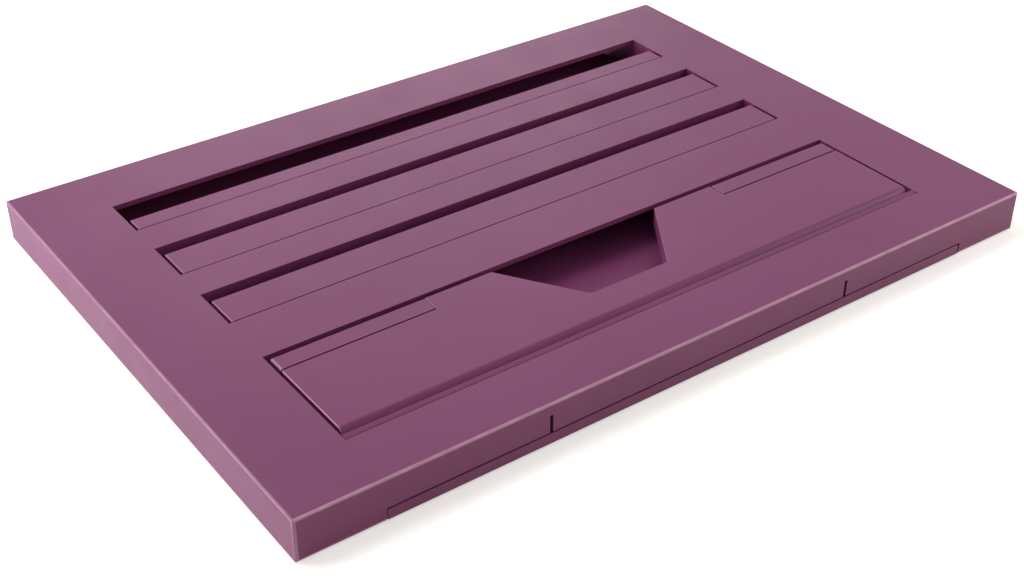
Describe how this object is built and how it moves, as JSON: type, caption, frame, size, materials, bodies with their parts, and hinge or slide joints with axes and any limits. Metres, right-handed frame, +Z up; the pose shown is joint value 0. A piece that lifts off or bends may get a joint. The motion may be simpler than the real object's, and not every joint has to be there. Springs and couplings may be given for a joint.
{
  "type": "folding reading stand",
  "caption": "Flat folding reading stand: a framed board on a hinged base, with a slatted prop that nests in its windows, a fold-out book ledge and swing-out page holders.",
  "frame": {"origin": "centre of the folded stand's footprint, on the table under its feet", "axes": "+X along the board's width to the reader's right, +Y from the front edge with the ledge to the back edge, +Z up out of the board's face"},
  "size_m": [0.355, 0.248, 0.019],
  "materials": {
    "body_plastic": "satin aubergine purple moulded plastic",
    "grip_rubber": "soft dark rubber",
    "steel": "plain zinc-plated steel"
  },
  "bodies": {
    "base": {"base_plate": "body_plastic", "base_foot_front_left": "grip_rubber", "base_foot_front_right": "grip_rubber", "base_foot_back_left": "grip_rubber", "base_foot_back_right": "grip_rubber"},
    "board": {"board_shell": "body_plastic", "rear_cover_left": "body_plastic", "rear_cover_right": "body_plastic", "cover_screws_left": "steel", "cover_screws_right": "steel", "base_hinge_pin_left": "steel", "base_hinge_pin_right": "steel", "prop_hinge_pin_left": "steel", "prop_hinge_pin_right": "steel", "ledge_hinge_pin_left": "steel", "ledge_hinge_pin_right": "steel"},
    "prop": {"prop_frame": "body_plastic", "prop_tip": "grip_rubber"},
    "ledge": {"ledge_flap": "body_plastic", "ledge_shelf": "body_plastic", "shelf_screws": "steel", "ledge_grip_left": "grip_rubber", "ledge_grip_right": "grip_rubber", "holder_screw_left": "steel", "holder_screw_right": "steel", "holder_washer_left": "steel", "holder_washer_right": "steel"},
    "holder_left": {"page_holder_left": "body_plastic"},
    "holder_right": {"page_holder_right": "body_plastic"}
  },
  "joints": [
    {"name": "board_tilt", "type": "hinge", "parent": "base", "child": "board", "pos_m": [0, -0.1221, 0.0025], "axis": [1, 0, 0], "range_deg": [0, 54]},
    {"name": "prop_fold", "type": "hinge", "parent": "board", "child": "prop", "pos_m": [0, -0.0267, 0.008], "axis": [-1, 0, 0], "range_deg": [0, 101]},
    {"name": "ledge_fold", "type": "hinge", "parent": "board", "child": "ledge", "pos_m": [0, -0.0965, 0.0172], "axis": [1, 0, 0], "range_deg": [0, 90]},
    {"name": "holder_left_swing", "type": "hinge", "parent": "ledge", "child": "holder_left", "pos_m": [-0.078, -0.0467, 0.015], "axis": [0, -1, 0], "range_deg": [0, 105]},
    {"name": "holder_right_swing", "type": "hinge", "parent": "ledge", "child": "holder_right", "pos_m": [0.078, -0.0467, 0.015], "axis": [0, 1, 0], "range_deg": [0, 105]}
  ],
  "couplings": [
    {"joint": "prop_fold", "follows": "board_tilt", "ratio": 1.865}
  ]
}
